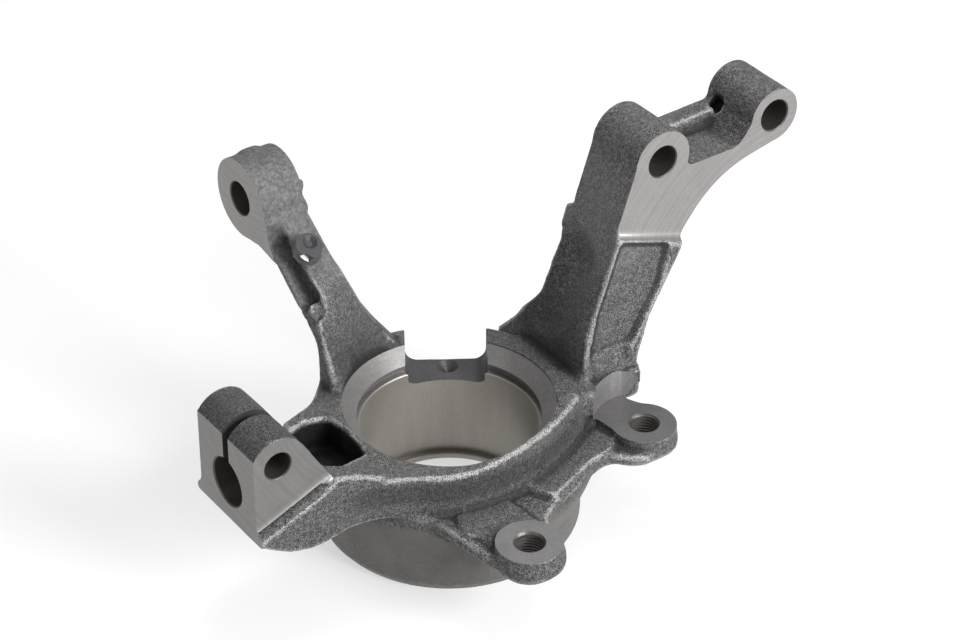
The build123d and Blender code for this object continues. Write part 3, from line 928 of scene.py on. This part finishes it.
@dataclass(frozen=True)
class SandCast:
    """The rough iron skin, smoother on the arm and the skirt, with painted light on one side of the strut
    arm, painted shade in its hollows, creases, pocket and scoop, and worn edges that also carry a painted
    highlight.
    """

    dark: Colour = (0.026, 0.026, 0.027)
    light: Colour = (0.26, 0.256, 0.252)
    clouded: Colour = (0.12, 0.117, 0.114)
    skirt: Colour = (0.130, 0.124, 0.118)
    skirt_light: Colour = (0.22, 0.205, 0.19)
    satin: Colour = (0.095, 0.095, 0.097)
    satin_light: Colour = (0.25, 0.25, 0.25)
    # Painted light on one side of the strut arm.
    painted_light: Colour = (0.26, 0.258, 0.262)
    shade: Colour = (0.020, 0.020, 0.021)
    # Painted shade in the hollows.
    hollow_shade: Colour = (0.018, 0.018, 0.018)
    # Painted shade in the creases and in the pocket.
    crevice_shade: Colour = (0.012, 0.012, 0.012)
    # Bare worn metal on edges, which also serves as a painted highlight.
    bare_and_highlight: Colour = (0.50, 0.495, 0.49)
    scoop_shade_zone: Zone = Zone((-45, 14), (30, 68), (62, 104), 8)
    wall_band: Zone = Zone(z=(47.5, 57.5), soft=2.5)
    wall_side: Zone = Zone((12, 90), (-70, 42), soft=12)
    crown_zone: Zone = Zone((-30, 40), (-130, -80), (88, 120), 5)
    root_zone: Zone = Zone((-62, -28), (-50, 5), (60, 86), 6)
    # The box where light is painted on a side of the strut arm.
    painted_light_zone: Zone = Zone((-30, 30), (50, 92), (116, 156), 10)
    # The box where the pocket is painted with shade.
    pocket_shade_zone: Zone = Zone((-25, 10.5), (-79, -49), (40, 58.5))

    def material(self) -> bpy.types.Material:
        """Speckled cast iron that reads its place on the casting and the mesh's relief; shade and light are
        painted into its colour in places.
        """
        r = Recipe.material("sand_cast_iron")
        place = x, y, z = r.split()
        fine, middle, cloud = r.noise(2100, 3, 0.7), r.noise(600, 2, 0.5), r.noise(38, 3, 0.6)
        speck = r.step(fine * 0.8 + middle * 0.2, 0.45, 0.61)
        edge, form = r.attribute("edge"), r.attribute("form")
        # Bare metal worn on the convex edges, which also paints a highlight along them.
        wear_and_highlight = r.step(edge + middle * 0.10, 0.15, 0.34) * r.step(fine, 0.38, 0.58)
        # Painted shade in the small creases.
        crease_shade = r.step(-edge, 0.03, 0.20) * 0.75
        # Painted shade in the large hollows of the form, stronger higher up, above about 50 mm.
        valley_shade = r.step(-form, 0.3, 3.0) * (0.2 + r.step(z, 0.050, 0.062) * 0.5)
        arm = r.step(-x, 0.050, 0.066) * r.step(z, 0.066, 0.085)
        low = r.step(-z, -0.036, -0.030) * r.step(y, -0.075, -0.055)
        hush = 1.0 - arm * 0.92
        scoop_shade, crown, root, painted_light, pocket_shade = (zone.mask(r, place) for zone in (
            self.scoop_shade_zone, self.crown_zone, self.root_zone, self.painted_light_zone, self.pocket_shade_zone))
        wall = self.wall_band.mask(r, place) * self.wall_side.mask(r, place)
        # Painted shade in the scoop on the strut arm; the housing's outer wall, the clamp's top and an arm
        # root are darkened with the same colour.
        shade = scoop_shade * (0.45 + cloud * 0.3) + wall * 0.5 + crown * 0.38 + root * 0.35

        base = r.mix(speck, self.dark, self.light)
        base = r.mix(r.step(cloud, 0.35, 0.7) * 0.3, base, self.clouded)
        base = r.mix(arm * 0.8, base, r.mix(r.step(middle, 0.3, 0.75) * 0.5, self.satin, self.satin_light))
        base = r.mix(low * 0.85, base, r.mix(r.step(cloud, 0.3, 0.75) * 0.6, self.skirt, self.skirt_light))
        # Painted light: a lighter patch on one side of the strut arm, stronger on the specks.
        base = r.mix(painted_light * (0.25 + speck * 0.3), base, self.painted_light)
        base = r.mix(shade, base, self.shade)
        base = r.mix(valley_shade * hush, base, self.hollow_shade)
        base = r.mix(crease_shade * hush, base, self.crevice_shade)
        base = r.mix(wear_and_highlight * 0.8 * hush, base, self.bare_and_highlight)
        # Painted shade: the pocket is made almost black inside.
        base = r.mix(pocket_shade, base, self.crevice_shade)

        calm = 1.0 - (arm * 0.65 + low * 0.8).clamped()
        grain = r.bump(fine * 0.6 + middle * 0.4, 0.0007, 0.8)
        ripple = r.bump(r.noise(190, 2, 0.5), 0.0010, 0.3, grain)
        rough = 0.40 + calm * 0.12 + (1.0 - speck) * 0.08 - wear_and_highlight * 0.08
        return r.finish(Base_Color=base, Roughness=rough, Metallic=0.5, Normal=ripple)


@dataclass(frozen=True)
class Milled:
    """A face milled with a large cutter, with faint arcs round a centre in metres."""

    name: str
    colour: Colour
    arc_centre: Point
    arcs: float = 420.0
    roughness: float = 0.36

    def material(self) -> bpy.types.Material:
        """Warm grey metal with fine tool marks."""
        r = Recipe.material(self.name)
        stain, fine = r.noise(60, 3, 0.6), r.noise(900, 2, 0.6)
        away = r.node("ShaderNodeVectorMath", {"operation": "DISTANCE"},
                      {0: r.coordinates, 1: self.arc_centre}, "Value")
        rings = r.node("ShaderNodeTexNoise", {"noise_dimensions": "1D"},
                       {"W": away + stain * 0.004, "Scale": self.arcs, "Detail": 2.0, "Roughness": 0.6},
                       "Fac")
        colour = r.mix(r.step(stain, 0.3, 0.75) * 0.35, self.colour, shaded(self.colour, 0.72))
        colour = r.mix(r.step(rings, 0.4, 0.7) * 0.30, colour, shaded(self.colour, 0.66))
        colour = r.mix(r.step(fine, 0.45, 0.75) * 0.25, colour, shaded(self.colour, 0.6))
        return r.finish(Base_Color=colour, Roughness=self.roughness + fine * 0.12, Metallic=0.8,
                        Normal=r.bump(rings * 0.6 + fine * 0.4, 0.00012, 0.5))


@dataclass(frozen=True)
class Turned:
    """The bearing's seat: bright, smooth, with faint streaks down its wall."""

    colour: Colour = (0.36, 0.335, 0.305)
    clouded: Colour = (0.27, 0.25, 0.22)

    def material(self) -> bpy.types.Material:
        """Smooth metal with fine rings and streaks."""
        r = Recipe.material("turned_seat")
        streak = r.noise(260, 3, 0.6, r.stretched((1, 1, 0.06)))
        rings = r.noise(900, 2, 0.5, r.stretched((0.02, 0.02, 1)))
        cloud, grain = r.noise(30, 2, 0.5), r.noise(1500, 2, 0.6)
        colour = r.mix(r.step(streak, 0.35, 0.7) * 0.10, self.colour, shaded(self.colour, 0.7))
        colour = r.mix(r.step(grain, 0.42, 0.66) * 0.25, colour, shaded(self.colour, 0.55))
        colour = r.mix(r.step(cloud, 0.35, 0.7) * 0.3, colour, self.clouded)
        return r.finish(Base_Color=colour, Roughness=0.38 + streak * 0.12, Metallic=0.75,
                        Normal=r.bump(rings, 0.0001, 0.4))


@dataclass(frozen=True)
class Plain:
    """A plainer cut face: an ear's pad or wall, the entry cone, a drilled hole or the notch."""

    name: str
    colour: Colour
    roughness: float
    metallic: float = 0.6
    grain: float = 0.35

    def material(self) -> bpy.types.Material:
        """Mottled metal with a slight grain."""
        r = Recipe.material(self.name)
        fine, cloud = r.noise(800, 3, 0.6), r.noise(70, 3, 0.6)
        colour = r.mix(r.step(cloud, 0.3, 0.75) * 0.4, self.colour, shaded(self.colour, 1.45))
        colour = r.mix(r.step(fine, 0.42, 0.7) * self.grain, colour, shaded(self.colour, 0.5))
        return r.finish(Base_Color=colour, Roughness=self.roughness + fine * 0.1, Metallic=self.metallic,
                        Normal=r.bump(fine, 0.0003, 0.3))


@dataclass
class Knuckle:
    """The whole part: a rough casting, then the machining, then the finishes."""

    forms: CastForms = field(default_factory=CastForms)
    cutters: Machining = field(default_factory=Machining)
    smooth_angle: float = 32.0

    def finishes(self) -> dict[Skin, SandCast | Milled | Turned | Plain]:
        """The finish of each slot."""
        return {Skin.CAST: SandCast(),
                Skin.MILLED: Milled("milled_bracket", (0.36, 0.347, 0.341), (0.0195, 0.175, 0.075)),
                Skin.TURNED: Turned(),
                Skin.PAD: Plain("spot_faced_pad", (0.145, 0.141, 0.142), 0.48, 0.5, 0.25),
                Skin.DRILLED: Plain("drilled_hole", (0.10, 0.095, 0.09), 0.42, 0.7),
                Skin.NOTCH: Plain("rim_notch", (0.060, 0.058, 0.061), 0.5, 0.5),
                Skin.WALL: Plain("spot_faced_wall", (0.22, 0.215, 0.215), 0.40),
                Skin.CONE: Plain("entry_cone", (0.19, 0.185, 0.182), 0.42, 0.6, 0.30),
                Skin.CLAMP: Milled("milled_clamp", (0.25, 0.243, 0.238), (0.0255, -0.02, 0.13)),
                Skin.EYE: Milled("milled_eye", (0.32, 0.311, 0.306), (-0.107, -0.04, 0.2))}

    def build(self, node: Piece) -> Piece:
        """Make the casting, cut it and dress it.

        Args:
            node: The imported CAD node.

        Returns:
            The finished piece.
        """
        body = self.forms.build(node)
        Bench.paint(body, Skin.CAST)
        log.info("skin: %d faces", len(body.data.polygons))
        relief = Relief(body)
        self.cutters.cut(body)
        relief.write(body)
        for skin, finish in self.finishes().items():
            body.data.materials[skin.value] = finish.material()
        Bench.alone(body)
        bpy.ops.object.shade_smooth_by_angle(angle=math.radians(self.smooth_angle))
        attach(body, "root")
        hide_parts("knuckle_casting")
        return body


@dataclass(frozen=True)
class Lamp:
    """A square softbox that looks at the part."""

    name: str
    place: Point
    size: float
    watts: float

    def hang(self, target: Point) -> None:
        """Place the lamp and turn it to the target."""
        data = bpy.data.lights.new(self.name, "AREA")
        data.size, data.energy = self.size, self.watts
        lamp = bpy.data.objects.new(self.name, data)
        bpy.context.collection.objects.link(lamp)
        lamp.location = self.place
        lamp.rotation_euler = (Vector(target) - Vector(self.place)).to_track_quat("-Z", "Y").to_euler()


@dataclass
class Studio:
    """Pale floor with a soft shadow, lamps, even light and the photograph's camera."""

    lens: float = 108.2757
    place: Point = (0.84633, -0.58815, 0.82180)
    right: Point = (0.57926, 0.81513, 0.00376)
    up: Point = (-0.46755, 0.32848, 0.82067)
    back: Point = (0.66772, -0.47714, 0.57139)
    ambient: float = 0.46
    floor_size: float = 8.0
    floor_z: float = -0.0002
    floor_lit: Colour = (0.42, 0.42, 0.42)
    floor_seen: Colour = (0.86, 0.86, 0.86)
    target: Point = (0, 0.02, 0.06)
    lamps: tuple[Lamp, ...] = (Lamp("key", (1.2, 0.45, 0.75), 0.6, 31),
                               Lamp("top", (-0.35, 0.35, 1.3), 0.7, 8),
                               Lamp("front", (0.2, -1.3, 0.6), 0.7, 2))

    def camera(self) -> None:
        """The camera fitted to the photograph."""
        data = bpy.data.cameras.new("camera")
        data.lens, data.sensor_width, data.clip_start, data.clip_end = self.lens, 36.0, 0.05, 20.0
        camera = bpy.data.objects.new("camera", data)
        bpy.context.collection.objects.link(camera)
        turn = Matrix((self.right, self.up, self.back)).transposed().to_4x4()
        camera.matrix_world = Matrix.Translation(self.place) @ turn
        bpy.context.scene.camera = camera

    def world(self) -> None:
        """Even light, and a pale backdrop where the camera looks past the floor."""
        world = bpy.data.worlds.new("studio")
        bpy.context.scene.world = world
        r = Recipe(world)
        r.finish(Color=(1, 1, 1), Strength=self.ambient)
        r.blend_surface(r.node("ShaderNodeLightPath", {}, {}, "Is Camera Ray"),
                        r.node("ShaderNodeBackground", {}, {}))

    def floor(self) -> None:
        """A pale floor that the camera sees as white, apart from the part's shadow."""
        bpy.ops.object.select_all(action="DESELECT")
        bpy.ops.mesh.primitive_plane_add(size=self.floor_size, location=(0, 0, self.floor_z))
        floor = bpy.context.active_object
        floor.name = "floor"
        r = Recipe.material("studio_floor")
        seen = r.node("ShaderNodeLightPath", {}, {}, "Is Camera Ray")
        shine = r.node("ShaderNodeLightPath", {}, {}, "Is Glossy Ray")
        r.finish(Base_Color=r.mix(seen, self.floor_lit, self.floor_seen), Roughness=0.9)
        r.blend_surface(seen * 0.55 + shine * 0.8, r.node("ShaderNodeEmission", {}, {"Strength": 1.0}))
        floor.data.materials.append(r.block)
        Bench.settle(floor)

    def build(self) -> None:
        """Set up the whole studio."""
        bpy.context.scene.view_settings.view_transform = "Standard"
        self.camera()
        self.world()
        self.floor()
        for lamp in self.lamps:
            lamp.hang(self.target)


def main() -> None:
    """Build the studio and the part, and report each piece."""
    logging.basicConfig(level=logging.INFO, format="%(relativeCreated)d ms: %(message)s")
    Studio().build()
    body = Knuckle().build(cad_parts["knuckle_casting"])
    log.info("%s: %d faces", body.name, len(body.data.polygons))


if __name__ == "__main__":
    main()
